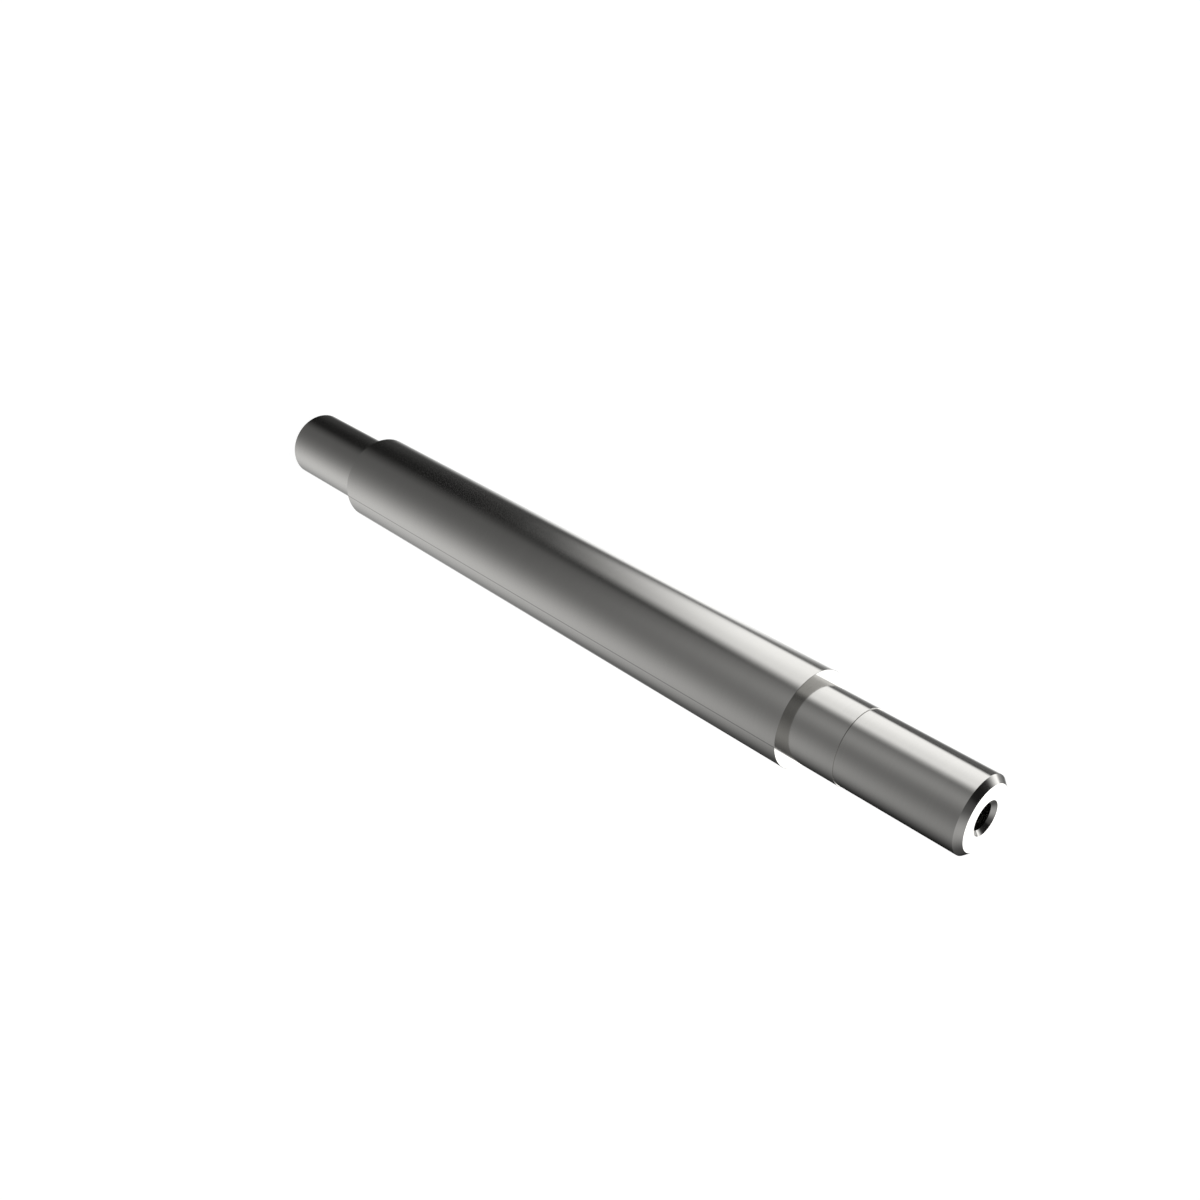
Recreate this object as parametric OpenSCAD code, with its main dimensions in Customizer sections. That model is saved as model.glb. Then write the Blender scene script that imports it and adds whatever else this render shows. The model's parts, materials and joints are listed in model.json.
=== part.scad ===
// Input shaft of a gear drive, turned from one steel bar.
// The shaft stands on its plain end: the axis is Z and the base circle's centre is the origin.
// From the floor up it has a plain journal, the long main body, a shoulder with a bearing seat,
// and a slightly smaller end journal with a chamfer and a tapped axial hole.

/* [Plain journal] */
// Diameter of the plain journal that the shaft stands on
plain_journal_d = 25; // [18:0.5:30]
// Length of the plain journal, from its end face to the body
plain_journal_len = 42; // [20:1:90]

/* [Main body] */
// Diameter of the main body, the largest on the shaft
body_d = 32; // [31:0.5:50]
// Length of the main body, from edge to edge
body_len = 212; // [100:1:400]

/* [Bearing seat] */
// Diameter of the ground seat next to the shoulder
seat_d = 25; // [25:0.5:30]
// Length of the seat, from the shoulder to the fine step
seat_len = 18; // [8:0.5:40]

/* [End journal] */
// Diameter of the end journal, a hair under the seat so that a bearing passes over it
end_journal_d = 24.5; // [18:0.1:24.9]
// Length of the end journal, from the fine step to the end face
end_journal_len = 41; // [35:1:80]
// Height of the end chamfer along the axis
end_chamfer_len = 1.9; // [0.5:0.1:3]
// Angle of the end chamfer, measured from the axis
end_chamfer_angle = 45; // [20:1:50]

/* [Tapped end hole] */
// Drilled diameter of the hole, the core size of a 10 mm coarse thread
tap_drill_d = 8.5; // [4:0.1:10]
// Depth of the drilled wall below the end face
tap_drill_depth = 28; // [12:1:32]
// Mouth diameter of the countersink
countersink_d = 10.9; // [10.2:0.1:12]
// Full angle of the countersink
countersink_angle = 90; // [60:5:120]
// Full angle of the drill point at the bottom of the hole
drill_point_angle = 118; // [90:1:140]

/* [Centre hole] */
// Mouth diameter of the turning centre in the plain end
centre_mouth_d = 8.5; // [6:0.1:12]
// Full angle of the turning centre's cone
centre_cone_angle = 60; // [55:1:65]
// Diameter of the pilot hole below the cone
centre_pilot_d = 4; // [2:0.1:5]
// Length of the pilot hole's wall
centre_pilot_len = 4.5; // [3:0.1:10]

/* [Hidden] */
$fn = 128;
// How far a cutting tool stands clear of the face that it enters
tool_clear = 1;

// Stations along the axis, counted from the plain end
body_start_z = plain_journal_len;
shoulder_z = body_start_z + body_len;
fine_step_z = shoulder_z + seat_len;
end_face_z = fine_step_z + end_journal_len;
chamfer_start_z = end_face_z - end_chamfer_len;

// The end face is smaller than its journal by the chamfer's run
end_face_d = end_journal_d - 2 * end_chamfer_len * tan(end_chamfer_angle);

// Height of a cone whose diameter goes from wide to narrow at a full angle
function cone_height(wide_d, narrow_d, full_angle) = (wide_d - narrow_d) / 2 / tan(full_angle / 2);

// Half section of the turned bar, with the axis at x = 0
module turned_section() {
    polygon([
        [0, 0],
        [plain_journal_d / 2, 0],
        [plain_journal_d / 2, body_start_z],
        [body_d / 2, body_start_z],
        [body_d / 2, shoulder_z],
        [seat_d / 2, shoulder_z],
        [seat_d / 2, fine_step_z],
        [end_journal_d / 2, fine_step_z],
        [end_journal_d / 2, chamfer_start_z],
        [end_face_d / 2, end_face_z],
        [0, end_face_z]
    ]);
}

// A blind hole that enters its face at z = 0 and goes down:
// a cone from mouth_d to drill_d, a straight wall to depth, then the drill's point
module drilled_hole(mouth_d, mouth_angle, drill_d, depth) {
    cone_h = cone_height(mouth_d, drill_d, mouth_angle);
    point_h = cone_height(drill_d, 0, drill_point_angle);
    rotate_extrude()
        polygon([
            [0, tool_clear],
            [mouth_d / 2, tool_clear],
            [mouth_d / 2, 0],
            [drill_d / 2, -cone_h],
            [drill_d / 2, -depth],
            [0, -depth - point_h]
        ]);
}

// The tapped hole for the end screw, in the chamfered end
module tapped_end_hole() {
    translate([0, 0, end_face_z])
        drilled_hole(countersink_d, countersink_angle, tap_drill_d, tap_drill_depth);
}

// The turning centre, in the plain end
module centre_hole() {
    cone_h = cone_height(centre_mouth_d, centre_pilot_d, centre_cone_angle);
    mirror([0, 0, 1])
        drilled_hole(centre_mouth_d, centre_cone_angle, centre_pilot_d, cone_h + centre_pilot_len);
}

// The whole shaft, one solid
module input_shaft() {
    color("silver")
        difference() {
            rotate_extrude() turned_section();
            tapped_end_hole();
            centre_hole();
        }
}

input_shaft();
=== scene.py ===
"""The look of the input shaft: ground steel, fine broken edges, the end hole's thread and studio light."""
import json
import math

import bpy
from mathutils import Matrix, Vector


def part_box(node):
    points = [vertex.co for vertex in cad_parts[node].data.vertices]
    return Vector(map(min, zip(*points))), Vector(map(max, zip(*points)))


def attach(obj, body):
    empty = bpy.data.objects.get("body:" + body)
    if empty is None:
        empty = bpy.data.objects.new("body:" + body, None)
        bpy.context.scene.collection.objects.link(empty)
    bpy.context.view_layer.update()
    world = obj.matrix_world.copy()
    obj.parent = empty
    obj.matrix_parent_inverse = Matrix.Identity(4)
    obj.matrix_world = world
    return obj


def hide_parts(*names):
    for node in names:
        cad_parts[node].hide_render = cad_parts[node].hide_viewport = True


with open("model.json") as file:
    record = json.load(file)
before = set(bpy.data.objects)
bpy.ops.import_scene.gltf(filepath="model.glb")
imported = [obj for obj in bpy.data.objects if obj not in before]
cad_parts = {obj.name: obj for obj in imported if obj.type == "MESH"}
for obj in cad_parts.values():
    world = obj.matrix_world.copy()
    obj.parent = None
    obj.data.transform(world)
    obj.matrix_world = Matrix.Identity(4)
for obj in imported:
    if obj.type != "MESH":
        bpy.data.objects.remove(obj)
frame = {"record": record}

MM = 0.001
TAU = 2 * math.pi
DEGREES = 180 / math.pi
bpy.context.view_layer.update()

# The turned bar's radii and the heights of its steps, in metres
mounts = {mount["name"]: mount for mount in frame["record"]["mounts"]}


def mount_radius(name):
    """Radius of a round mount."""
    return mounts[name]["dims"]["r_mm"] * MM


def mount_span(name):
    """Lowest and highest z of a round mount's wall."""
    middle = mounts[name]["pos_m"][2]
    half = mounts[name]["dims"]["length_mm"] * MM / 2
    return middle - half, middle + half


box_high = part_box("input_shaft")[1]
BODY_R = box_high.x
END_Z = box_high.z
PLAIN_R = mount_radius("plain_journal")
BODY_START_Z = mount_span("plain_journal")[1]
BEARING_R = mount_radius("bearing_surface")
SHOULDER_Z, FINE_STEP_Z = mount_span("bearing_surface")
END_R = mount_radius("end_journal")
CHAMFER_START_Z = mount_span("end_journal")[1]
END_FACE_R = END_R - (END_Z - CHAMFER_START_Z)
CORE_R = mount_radius("end_thread")
CORE_BOTTOM_Z, CORE_TOP_Z = mount_span("end_thread")
COUNTERSINK_R = CORE_R + (END_Z - CORE_TOP_Z)

# The turning centre in the plain end, and the drill points of both holes
CENTRE_MOUTH_R = 4.25 * MM
CENTRE_PILOT_R = 2 * MM
CENTRE_PILOT_LEN = 4.5 * MM
CENTRE_HALF_ANGLE = math.radians(30)
DRILL_HALF_ANGLE = math.radians(59)
CENTRE_CONE_LEN = (CENTRE_MOUTH_R - CENTRE_PILOT_R) / math.tan(CENTRE_HALF_ANGLE)
CENTRE_TIP_LEN = CENTRE_PILOT_R / math.tan(DRILL_HALF_ANGLE)
DRILL_TIP_LEN = CORE_R / math.tan(DRILL_HALF_ANGLE)

# The coarse thread in the end hole. The flat of its groove is an eighth of the pitch
THREAD_PITCH = 1.5 * MM
THREAD_OUTER_R = 5 * MM
THREAD_LEN = 22 * MM
THREAD_FLANK_ANGLE = math.radians(30)
THREAD_GROOVE = 1 / 8
THREAD_FADE = THREAD_PITCH / 2
THREAD_BOTTOM_Z = CORE_TOP_Z - THREAD_LEN

# The broken edges, and the hairline that is scribed along the main body
EDGE_BREAK = 0.12 * MM
EDGE_BREAK_STEPS = 3
SCRIBE_ANGLE = math.radians(48.3)
SCRIBE_HALF_WIDTH = 0.19 * MM
SCRIBE_DEPTH = 0.03 * MM
# How much painted shade darkens the colour of the scribed line
SCRIBE_PAINTED_SHADE = 0.36
SCRIBE_SKIN = 0.2 * MM

# The fineness of the round forms. Only the main body's wall is longer than LONG_WALL
COLUMNS = 160
LONG_WALL = 100 * MM
SAME_PLACE = 1e-7
STEPS_PER_METRE = 1e8
NEAR_AXIS = 1e-5

# The steel's shade, tint and roughness, and how much its marks add to them
STEEL_SHADE = 0.53
STEEL_GREEN = 0.986
STEEL_BLUE = 0.952
STEEL_ROUGHNESS = 0.105
COARSE_TINT = 0.02
FINE_TINT = 0.05
COARSE_HAZE = 0.02
CLOUD_HAZE = 0.02
FINE_HAZE = 0.03
GRINDING_STRENGTH = 0.05
GRINDING_DEPTH = 0.03 * MM

# The studio's strengths, where 1 is plain white
BOX_FAR_GLOW = 1.48
BOX_NEAR_GLOW = 1.215
WALL_GREY = 0.165
WALL_FRONT_PATCH = 0.2
WALL_RIGHT_PATCH = 0.16
FLOOR_RIGHT_GLOW = 0.71
FLOOR_FRONT_GLOW = 0.125
FLOOR_DIMMING = 0.33
DIM_WALL_BAND = 0.09
DIM_WALL_GREY = 0.042
LAMP_GLOW = 1.2
RIGHT_WHITE = 0.7
WHITE_ABOVE = 2.6
HIGH_GREY = 0.5
DARKEST_GREY = 0.016

# The white ground and the backdrop that the camera sees, in metres
GROUND_SIZE = 12
GROUND_GLOW = 0.93
GROUND_DIFFUSE = 0.3
BACKDROP_R = 5.9

# The camera stands in front of the part and above it. The roll lays the shaft across the picture
CAMERA_DISTANCE = 349.955 * MM
CAMERA_HEIGHT = 438.849 * MM
CAMERA_AIM = Vector((-0.4163 * MM, 0, 164.869 * MM))
CAMERA_ROLL = 2.0827
CAMERA_LENS = 40.265
CAMERA_SENSOR = 36
CAMERA_NEAR = 0.01
CAMERA_FAR = 50


def column_angles():
    """Angles of the columns, from -Y towards +X, with three close ones for the scribed line."""
    half = SCRIBE_HALF_WIDTH / BODY_R
    angles = [TAU * i / COLUMNS for i in range(COLUMNS)]
    angles = [a for a in angles if abs(a - SCRIBE_ANGLE) > 2 * half]
    angles += [SCRIBE_ANGLE - half, SCRIBE_ANGLE, SCRIBE_ANGLE + half]
    return sorted(angles)


ANGLES = column_angles()
SCRIBE_COLUMN = ANGLES.index(SCRIBE_ANGLE)


def on_circle(radius, angle, z):
    """A point of the shaft at an angle from -Y towards +X."""
    return Vector((radius * math.sin(angle), -radius * math.cos(angle), z))


def outward(a, b):
    """The outward normal of the profile's stretch from a to b, as (radius, z)."""
    along = Vector(b) - Vector(a)
    return Vector((along.y, -along.x)).normalized()


def is_inner(before, corner, after):
    """Whether the profile turns into the steel at a corner."""
    return outward(before, corner).cross(outward(corner, after)) <= 0


def broken_edge(before, corner, after):
    """The small rounding that replaces a sharp corner, as a list of (point, normal)."""
    first, last = outward(before, corner), outward(corner, after)
    turn = first.angle(last)
    bisector = (first + last).normalized()
    centre = Vector(corner) - bisector * EDGE_BREAK / math.cos(turn / 2)
    normals = [first.slerp(last, i / EDGE_BREAK_STEPS) for i in range(EDGE_BREAK_STEPS + 1)]
    return [(centre + normal * EDGE_BREAK, normal) for normal in normals]


def stretches(corners):
    """The profile's straight stretches and roundings. Each is a pair of (point, normal)."""
    found = []
    start = Vector(corners[0])
    for i in range(1, len(corners)):
        corner = Vector(corners[i])
        normal = outward(start, corner)
        is_last = i == len(corners) - 1
        in_hole = corner.x < CORE_R + EDGE_BREAK
        if is_last or in_hole or is_inner(corners[i - 1], corner, corners[i + 1]):
            found.append(((start, normal), (corner, normal)))
            start = corner
            continue
        rounding = broken_edge(corners[i - 1], corner, corners[i + 1])
        found.append(((start, normal), (rounding[0][0], normal)))
        found += zip(rounding, rounding[1:])
        start = rounding[-1][0]
    return found


class ShaftMesh:
    """Collects faces that share their corner points, with one exact normal for each corner."""

    def __init__(self):
        self.numbers = {}
        self.points = []
        self.faces = []
        self.normals = []

    def number(self, point):
        """The number of a point. Points in the same place share one."""
        key = tuple(round(value * STEPS_PER_METRE) for value in point)
        if key not in self.numbers:
            self.numbers[key] = len(self.points)
            self.points.append(point)
        return self.numbers[key]

    def add_face(self, points, normals):
        """Adds a face without the corners that fall together."""
        corners = {}
        for point, normal in zip(points, normals):
            corners.setdefault(self.number(point), normal)
        if len(corners) > 2:
            self.faces.append(list(corners))
            self.normals += corners.values()

    def as_object(self, name):
        """The finished piece."""
        mesh = bpy.data.meshes.new(name)
        mesh.from_pydata(self.points, [], self.faces)
        mesh.shade_smooth()
        mesh.normals_split_custom_set(self.normals)
        made = bpy.data.objects.new(name, mesh)
        bpy.context.scene.collection.objects.link(made)
        return made


def at_body_radius(point):
    """Whether a profile point lies at the main body's radius."""
    return abs(point.x - BODY_R) < SAME_PLACE


def shaft_point(point, column):
    """A profile point turned to a column. The scribed line lies a little deeper in the main body's wall."""
    on_wall = at_body_radius(point) and BODY_START_Z < point.y < SHOULDER_Z
    depth = SCRIBE_DEPTH if on_wall and column == SCRIBE_COLUMN else 0
    return on_circle(point.x - depth, ANGLES[column], point.y)


def add_turned(mesh, corners):
    """Turns the profile through a full circle."""
    for (start, start_normal), (end, end_normal) in stretches(corners):
        is_main_wall = at_body_radius(start) and end.y - start.y > LONG_WALL
        for j in range(len(ANGLES)):
            k = (j + 1) % len(ANGLES)
            low = [(start, start_normal, column) for column in (j, k)]
            high = [(end, end_normal, column) for column in (k, j)]
            turned = low + high
            points = [shaft_point(point, column) for point, normal, column in turned]
            if is_main_wall and j in (SCRIBE_COLUMN - 1, SCRIBE_COLUMN):
                flat = (points[1] - points[0]).cross(points[3] - points[0]).normalized()
                normals = [flat] * 4
            else:
                normals = [on_circle(normal.x, ANGLES[column], normal.y) for point, normal, column in turned]
            mesh.add_face(points, normals)


def thread_form():
    """One pitch of the thread upwards, as (share of the pitch, radius): crest, groove, crest."""
    flank = (THREAD_OUTER_R - CORE_R) * math.tan(THREAD_FLANK_ANGLE) / THREAD_PITCH
    return [
        (0, CORE_R),
        (flank, THREAD_OUTER_R),
        (flank + THREAD_GROOVE, THREAD_OUTER_R),
        (2 * flank + THREAD_GROOVE, CORE_R),
    ]


def thread_point(form, row, column):
    """The point of a row at a column, as (radius, z). A column past the last one is in the next turn."""
    turn, part = divmod(row, len(form))
    share, radius = form[part]
    rounds, place = divmod(column, len(ANGLES))
    turned = (ANGLES[place] + TAU * rounds) / TAU
    z = THREAD_BOTTOM_Z + THREAD_PITCH * (turn + share + turned)
    z = min(max(z, THREAD_BOTTOM_Z), CORE_TOP_Z)
    fade = min(1, min(z - THREAD_BOTTOM_Z, CORE_TOP_Z - z) / THREAD_FADE)
    return Vector((CORE_R + (radius - CORE_R) * fade, z))


def add_thread(mesh):
    """The tapped wall. Its rows climb one pitch in each turn and fade out at both ends."""
    form = thread_form()
    first_row = -2 * len(form)
    end_row = math.ceil(THREAD_LEN / THREAD_PITCH + 1) * len(form)
    for row in range(first_row, end_row):
        for j in range(len(ANGLES)):
            columns = [j, j + 1, j + 1, j]
            rows = [row + 1, row + 1, row, row]
            profile = [thread_point(form, r, c) for r, c in zip(rows, columns)]
            sides = [(profile[3], profile[0]), (profile[2], profile[1])]
            sides = [(low, high) for low, high in sides if (high - low).length >= SAME_PLACE]
            if not sides:
                continue
            low, high = sides[0]
            normal = outward(high, low)
            angles = [ANGLES[c % len(ANGLES)] for c in columns]
            points = [on_circle(p.x, angle, p.y) for p, angle in zip(profile, angles)]
            mesh.add_face(points, [on_circle(normal.x, angle, normal.y) for angle in angles])


def make_shaft():
    """The whole turned part as one closed mesh, from the turning centre round to the drill point."""
    mesh = ShaftMesh()
    pilot_end = CENTRE_CONE_LEN + CENTRE_PILOT_LEN
    add_turned(mesh, [
        (0, pilot_end + CENTRE_TIP_LEN),
        (CENTRE_PILOT_R, pilot_end),
        (CENTRE_PILOT_R, CENTRE_CONE_LEN),
        (CENTRE_MOUTH_R, 0),
        (PLAIN_R, 0),
        (PLAIN_R, BODY_START_Z),
        (BODY_R, BODY_START_Z),
        (BODY_R, SHOULDER_Z),
        (BEARING_R, SHOULDER_Z),
        (BEARING_R, FINE_STEP_Z),
        (END_R, FINE_STEP_Z),
        (END_R, CHAMFER_START_Z),
        (END_FACE_R, END_Z),
        (COUNTERSINK_R, END_Z),
        (CORE_R, CORE_TOP_Z),
    ])
    add_thread(mesh)
    add_turned(mesh, [
        (CORE_R, THREAD_BOTTOM_Z),
        (CORE_R, CORE_BOTTOM_Z),
        (0, CORE_BOTTOM_Z - DRILL_TIP_LEN),
    ])
    return mesh.as_object("shaft_surface")


class Nodes:
    """A pattern of shade or light, built up in small steps."""

    def __init__(self, tree):
        self.tree = tree
        tree.nodes.clear()

    def add(self, kind, **values):
        """One step of a kind, with its settings."""
        node = self.tree.nodes.new(kind)
        for name, value in values.items():
            setattr(node, name, value)
        return node

    def feed(self, socket, value):
        """Gives a socket a number, a colour or the result of another step."""
        if isinstance(value, bpy.types.NodeSocket):
            self.tree.links.new(value, socket)
        else:
            socket.default_value = value

    def split(self, vector):
        """The x, y and z of a vector."""
        node = self.add("ShaderNodeSeparateXYZ")
        self.feed(node.inputs[0], vector)
        return node.outputs

    def maths(self, operation, *values):
        """One sum, quotient, root or the like."""
        node = self.add("ShaderNodeMath", operation=operation)
        for socket, value in zip(node.inputs, values):
            self.feed(socket, value)
        return node.outputs[0]

    def plus(self, first, *others):
        """The sum of two or more values."""
        for other in others:
            first = self.maths("ADD", first, other)
        return first

    def times(self, first, *others):
        """The product of two or more values."""
        for other in others:
            first = self.maths("MULTIPLY", first, other)
        return first

    def ramp(self, value, low, high, start, end):
        """A smooth change from start at low to end at high."""
        node = self.add("ShaderNodeMapRange", interpolation_type="SMOOTHSTEP")
        names = ("Value", "From Min", "From Max", "To Min", "To Max")
        for name, setting in zip(names, (value, low, high, start, end)):
            self.feed(node.inputs[name], setting)
        return node.outputs[0]

    def rise(self, value, low, high):
        """A smooth rise from 0 at low to 1 at high."""
        return self.ramp(value, low, high, 0, 1)

    def fall(self, value, low, high, end=0):
        """A smooth fall from 1 at low to end at high."""
        return self.ramp(value, low, high, 1, end)

    def bell(self, value, middle, width):
        """A bell curve round the middle."""
        away = self.maths("DIVIDE", self.maths("SUBTRACT", value, middle), width)
        return self.maths("EXPONENT", self.times(away, away, -0.5))


def ring_marks(n, place, per_metre, round_scale, detail):
    """Grinding marks drawn out round the axis, on walls and flat faces alike."""
    x, y, z = n.split(place)
    radius = n.maths("SQRT", n.plus(n.times(x, x), n.times(y, y)))
    from_axis = n.maths("MAXIMUM", radius, NEAR_AXIS)
    spot = n.add("ShaderNodeCombineXYZ")
    n.feed(spot.inputs[0], n.times(n.maths("DIVIDE", x, from_axis), round_scale))
    n.feed(spot.inputs[1], n.times(n.maths("DIVIDE", y, from_axis), round_scale))
    n.feed(spot.inputs[2], n.times(z, per_metre))
    noise = n.add("ShaderNodeTexNoise", noise_dimensions="4D")
    n.feed(noise.inputs["Vector"], spot.outputs[0])
    n.feed(noise.inputs["W"], n.times(radius, per_metre))
    n.feed(noise.inputs["Scale"], 1.0)
    n.feed(noise.inputs["Detail"], detail)
    return noise.outputs["Fac"]


def cloud_marks(n, place, scale, detail):
    """Soft clouds in the gloss."""
    noise = n.add("ShaderNodeTexNoise")
    n.feed(noise.inputs["Vector"], place)
    n.feed(noise.inputs["Scale"], scale)
    n.feed(noise.inputs["Detail"], detail)
    return noise.outputs["Fac"]


def scribed_line(n, place):
    """1 on the line along the main body and 0 beside it: where the scribed groove's painted shade goes."""
    x, y, z = n.split(place)
    beside = n.plus(n.times(x, math.cos(SCRIBE_ANGLE)), n.times(y, math.sin(SCRIBE_ANGLE)))
    facing = n.plus(n.times(x, math.sin(SCRIBE_ANGLE)), n.times(y, -math.cos(SCRIBE_ANGLE)))
    return n.times(
        n.fall(n.maths("ABSOLUTE", beside), SCRIBE_HALF_WIDTH * 0.7, SCRIBE_HALF_WIDTH * 1.3),
        n.rise(facing, BODY_R - 2 * SCRIBE_SKIN, BODY_R - SCRIBE_SKIN),
    )


def ground_steel():
    """Ground steel: fine rings of grinding marks round the axis, and a slightly uneven gloss."""
    material = bpy.data.materials.new("ground_steel")
    material.use_nodes = True
    n = Nodes(material.node_tree)
    place = n.add("ShaderNodeTexCoord").outputs["Object"]
    fine = ring_marks(n, place, per_metre=5000, round_scale=1.5, detail=3.0)
    coarse = ring_marks(n, place, per_metre=220, round_scale=0.8, detail=2.0)
    cloud = cloud_marks(n, place, scale=60.0, detail=3.0)

    # Painted shade: the scribed line is painted a little darker than the steel round it, standing in for
    # shade in its shallow groove
    line_painted_shade = n.maths("SUBTRACT", 1, n.times(scribed_line(n, place), SCRIBE_PAINTED_SHADE))
    marked = n.plus(n.times(coarse, COARSE_TINT), n.times(fine, FINE_TINT), STEEL_SHADE)
    shade = n.times(line_painted_shade, marked)
    colour = n.add("ShaderNodeCombineColor")
    n.feed(colour.inputs[0], shade)
    n.feed(colour.inputs[1], n.times(shade, STEEL_GREEN))
    n.feed(colour.inputs[2], n.times(shade, STEEL_BLUE))
    haze = n.plus(n.times(coarse, COARSE_HAZE), n.times(cloud, CLOUD_HAZE), n.times(fine, FINE_HAZE))
    bump = n.add("ShaderNodeBump")
    n.feed(bump.inputs["Strength"], GRINDING_STRENGTH)
    n.feed(bump.inputs["Distance"], GRINDING_DEPTH)
    n.feed(bump.inputs["Height"], fine)

    shader = n.add("ShaderNodeBsdfPrincipled")
    n.feed(shader.inputs["Base Color"], colour.outputs[0])
    n.feed(shader.inputs["Metallic"], 1.0)
    n.feed(shader.inputs["Roughness"], n.plus(haze, STEEL_ROUGHNESS))
    n.feed(shader.inputs["Normal"], bump.outputs[0])
    output = n.add("ShaderNodeOutputMaterial")
    n.feed(output.inputs["Surface"], shader.outputs[0])
    return material


def plain_glow(name, strength, diffuse):
    """White that glows by itself and takes a faint shadow."""
    material = bpy.data.materials.new(name)
    material.use_nodes = True
    n = Nodes(material.node_tree)
    shader = n.add("ShaderNodeBsdfPrincipled")
    n.feed(shader.inputs["Base Color"], (diffuse, diffuse, diffuse, 1))
    n.feed(shader.inputs["Roughness"], 1.0)
    n.feed(shader.inputs["Specular IOR Level"], 0.0)
    n.feed(shader.inputs["Emission Color"], (1, 1, 1, 1))
    n.feed(shader.inputs["Emission Strength"], strength)
    output = n.add("ShaderNodeOutputMaterial")
    n.feed(output.inputs["Surface"], shader.outputs[0])
    return material


def only_for_camera(thing):
    """Keeps a stage piece out of the reflections and off the light."""
    thing.visible_glossy = False
    thing.visible_transmission = False
    thing.visible_diffuse = False
    thing.visible_shadow = False


def make_stage():
    """A white floor under the part and a white backdrop round it."""
    bpy.ops.mesh.primitive_plane_add(size=GROUND_SIZE, location=(0, 0, 0))
    floor = bpy.context.object
    floor.name = "studio_floor"
    floor.data.materials.append(plain_glow("studio_white", GROUND_GLOW, GROUND_DIFFUSE))
    only_for_camera(floor)
    bpy.ops.mesh.primitive_uv_sphere_add(segments=64, ring_count=32, radius=BACKDROP_R)
    backdrop = bpy.context.object
    backdrop.name = "studio_backdrop"
    backdrop.data.materials.append(plain_glow("backdrop_white", 1.0, 0.0))
    only_for_camera(backdrop)


def soft_box(n, around, height):
    """A large soft box on the left. Its edges bow and lean, and it ends above the dark floor."""
    bow = n.maths("MAXIMUM", n.times(n.plus(height, 17), 0.7), n.times(n.plus(height, 21), -0.9))
    lean = n.maths("MINIMUM", n.maths("MAXIMUM", n.maths("SUBTRACT", -28, height), 0), 14)
    left_side = n.rise(n.plus(around, bow), -122, -109)
    lower_corner = n.rise(n.plus(around, n.times(height, 1.4)), -189, -155)
    right_side = n.fall(n.plus(around, n.times(lean, 1.15)), -62, -35)
    bottom = n.rise(height, -42.5, -31)
    top = n.fall(height, 18, 42)
    glow = n.ramp(around, -98, -64, BOX_FAR_GLOW, BOX_NEAR_GLOW)
    return n.times(left_side, lower_corner, right_side, bottom, top, glow)


def grey_wall(n, around, height):
    """A grey wall in front and on the right, with two paler places, down to the floor's edge."""
    front_patch = n.times(n.bell(around, -11, 17), WALL_FRONT_PATCH)
    right_patch = n.times(n.bell(around, 78, 25), WALL_RIGHT_PATCH)
    left_end = n.rise(around, -50, -34)
    slant = n.times(n.maths("MAXIMUM", height, 0), 0.6)
    right_end = n.fall(n.plus(around, slant), 88, 155)
    foot = n.rise(height, -45, -23)
    top = n.fall(height, 5, 55, 0.2)
    return n.times(n.plus(front_patch, right_patch, WALL_GREY), left_end, right_end, foot, top)


def lit_floor(n, around, height):
    """A floor that is lit from the right and a little dimmer far on the right."""
    right_glow = n.times(n.bell(around, 90, 38), FLOOR_RIGHT_GLOW)
    front_glow = n.times(n.rise(around, -70, -27), FLOOR_FRONT_GLOW)
    far_edge = n.fall(height, -49, -20)
    dimmed = n.times(n.rise(around, 110, 145), n.rise(height, -46, -34), FLOOR_DIMMING)
    return n.times(n.plus(right_glow, front_glow), far_edge, n.maths("SUBTRACT", 1, dimmed))


def dim_wall(n, around, height):
    """A dim wall behind the part on the left, a little paler in a low band."""
    band_end = n.fall(around, -131, -122)
    band = n.times(band_end, n.rise(height, -44, -28), n.fall(height, -14, 2, 0.3), DIM_WALL_BAND)
    return n.plus(band, n.times(n.fall(around, -128, -80), DIM_WALL_GREY))


def small_lamp(n, around, height):
    """A small lamp low on the left. Its glow reaches twice as far down as up."""
    from_lamp = n.plus(height, 34.5)
    reach = n.maths("MAXIMUM", from_lamp, n.times(from_lamp, -0.5))
    return n.times(n.bell(around, -150, 9), n.bell(reach, 0, 3.6), LAMP_GLOW)


def left_white(n, around, height):
    """The white surroundings behind the part, on the left."""
    right_end = n.fall(around, -174, -144)
    return n.times(right_end, n.fall(height, -30, -20, 0.69), n.fall(height, -18, -5, 0.1))


def right_white(n, around, height):
    """The white surroundings behind the part, on the right."""
    return n.times(n.rise(around, 151, 171), n.fall(height, -42, -30), RIGHT_WHITE)


def white_above(n, around, height):
    """A bright white place behind the part, above the horizon."""
    across = n.plus(n.bell(around, -180, 23), n.bell(around, 180, 13))
    return n.times(across, n.bell(height, 25, 10), WHITE_ABOVE)


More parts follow.
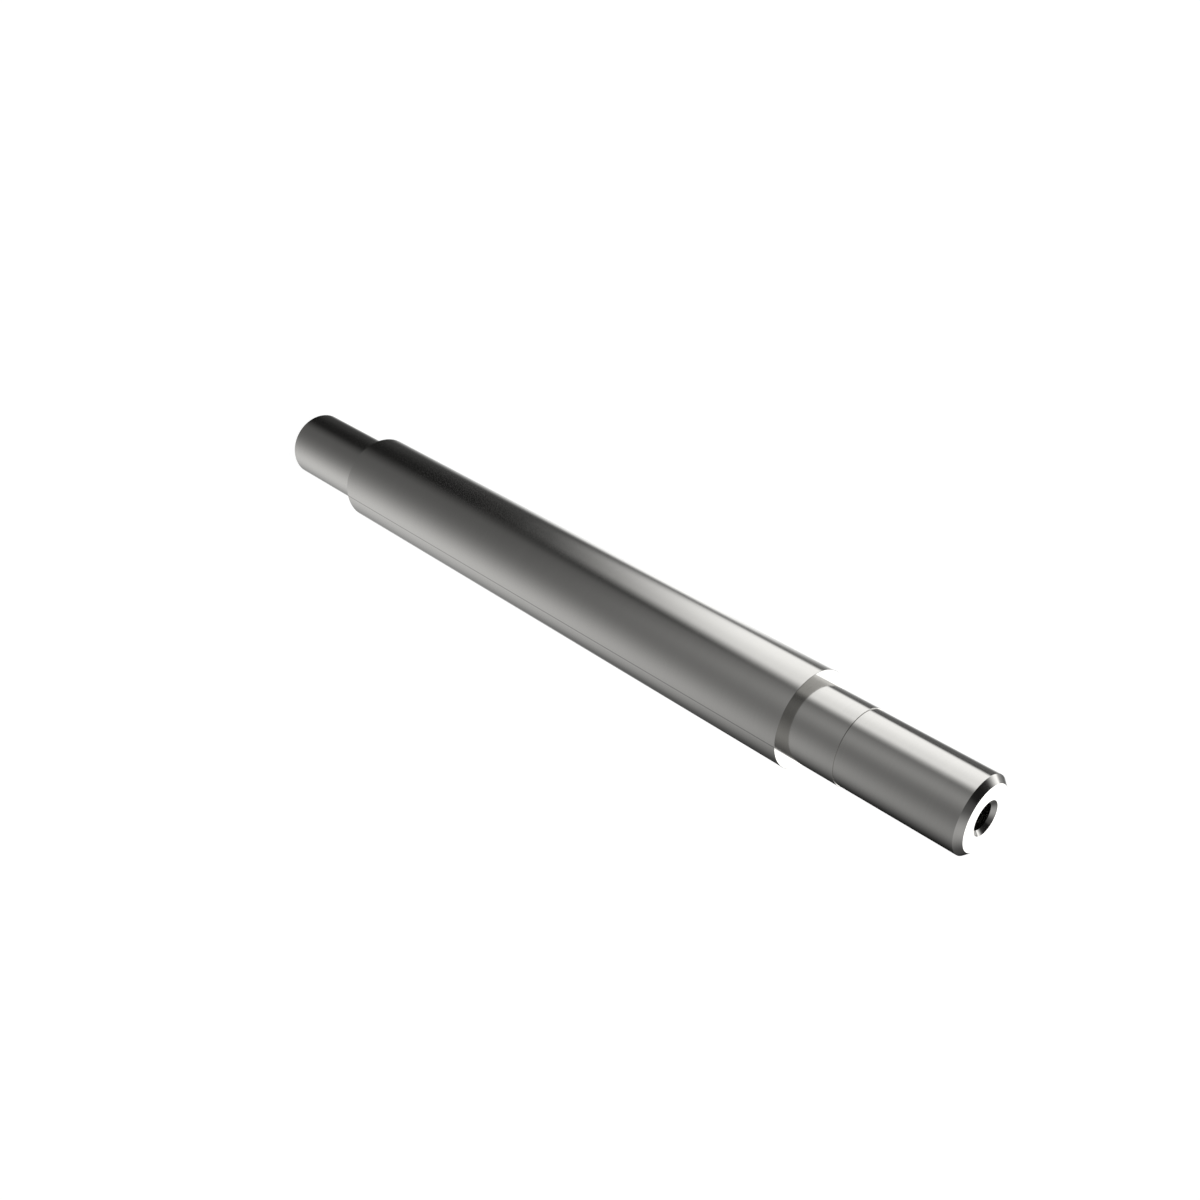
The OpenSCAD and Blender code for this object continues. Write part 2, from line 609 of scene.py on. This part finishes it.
def high_grey(n, around, height):
    """A grey glow high on the right."""
    return n.times(n.bell(around, 90, 42), n.bell(height, 50, 22), HIGH_GREY)


def studio_light():
    """The studio that the steel reflects. Places are in degrees, round from -Y and up from the horizon."""
    world = bpy.data.worlds.new("studio")
    bpy.context.scene.world = world
    world.use_nodes = True
    n = Nodes(world.node_tree)
    x, y, z = n.split(n.add("ShaderNodeTexCoord").outputs["Generated"])
    around = n.times(n.maths("ARCTAN2", x, n.times(y, -1)), DEGREES)
    height = n.times(n.maths("ARCSINE", z), DEGREES)
    lights = (
        soft_box, grey_wall, lit_floor, dim_wall, small_lamp,
        left_white, right_white, white_above, high_grey,
    )
    parts = [light(n, around, height) for light in lights]

    background = n.add("ShaderNodeBackground")
    n.feed(background.inputs["Color"], (1, 1, 1, 1))
    n.feed(background.inputs["Strength"], n.plus(*parts, DARKEST_GREY))
    output = n.add("ShaderNodeOutputWorld")
    n.feed(output.inputs["Surface"], background.outputs[0])


def make_camera():
    """The photo's view: from above the free end, turned so that the shaft lies across the picture."""
    place = Vector((0, -CAMERA_DISTANCE, CAMERA_HEIGHT))
    forward = (CAMERA_AIM - place).normalized()
    right = forward.cross(Vector((0, 0, 1))).normalized()
    down = forward.cross(right)
    image_right = right * math.cos(CAMERA_ROLL) - down * math.sin(CAMERA_ROLL)
    image_down = right * math.sin(CAMERA_ROLL) + down * math.cos(CAMERA_ROLL)
    camera = bpy.data.objects.new("camera", bpy.data.cameras.new("camera"))
    bpy.context.scene.collection.objects.link(camera)
    camera.data.sensor_width = CAMERA_SENSOR
    camera.data.lens = CAMERA_LENS
    camera.data.clip_start = CAMERA_NEAR
    camera.data.clip_end = CAMERA_FAR
    turn = Matrix((image_right, -image_down, -forward)).transposed()
    camera.matrix_world = Matrix.Translation(place) @ turn.to_4x4()
    bpy.context.scene.camera = camera


shaft = make_shaft()
shaft.data.materials.append(ground_steel())
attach(shaft, "root")
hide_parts("input_shaft")

make_stage()
studio_light()
make_camera()
bpy.context.scene.view_settings.view_transform = "Standard"
